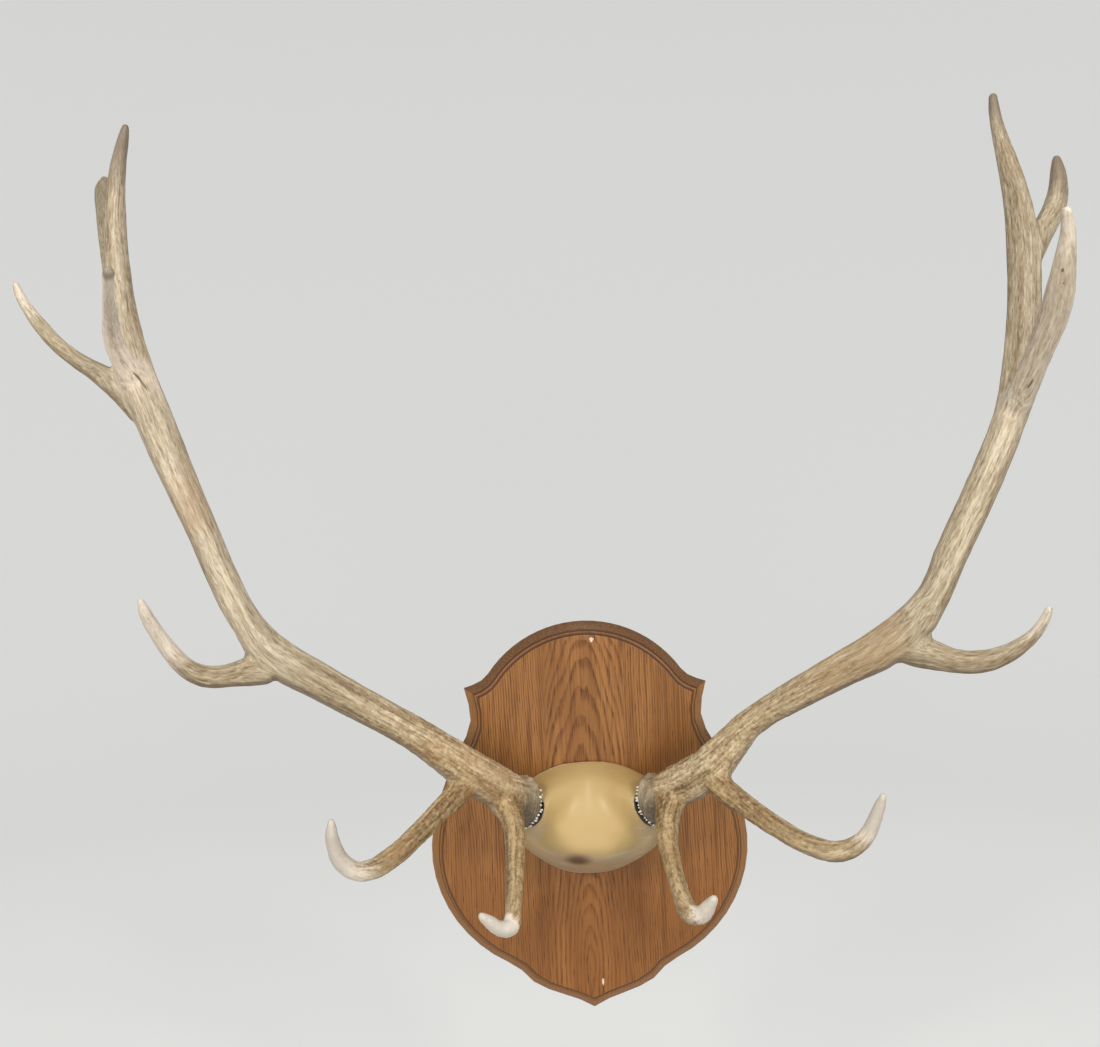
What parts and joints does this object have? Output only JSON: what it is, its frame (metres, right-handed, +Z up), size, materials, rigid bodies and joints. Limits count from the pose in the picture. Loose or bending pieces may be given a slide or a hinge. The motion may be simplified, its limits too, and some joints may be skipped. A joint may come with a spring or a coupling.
{
  "type": "antler mount",
  "caption": "Wall-hung elk antler rack: two branching antlers rise from a glossy skull-cap cover on an oak shield with a moulded edge.",
  "frame": {"origin": "centre of the shield's flat back face, which lies on the wall", "axes": "+Z up, +Y into the wall, +X to the right as seen from the front; the front faces -Y"},
  "size_m": [1.2804, 0.402, 1.1671],
  "materials": {
    "oak": "satin varnish over vertical oak grain",
    "cap_cover": "glossy cream tan",
    "antler": "natural antler, tan and brown streaks with ivory tips, satin"
  },
  "bodies": {
    "root": {"oak_shield": "oak", "skull_cap_cover": "cap_cover", "left_main_beam": "antler", "left_brow_tine": "antler", "left_bez_tine": "antler", "left_trez_tine": "antler", "left_outer_tine": "antler", "left_royal_tine": "antler", "left_crown_tine": "antler", "right_main_beam": "antler", "right_brow_tine": "antler", "right_bez_tine": "antler", "right_trez_tine": "antler", "right_royal_tine": "antler", "right_crown_tine": "antler"}
  },
  "joints": []
}
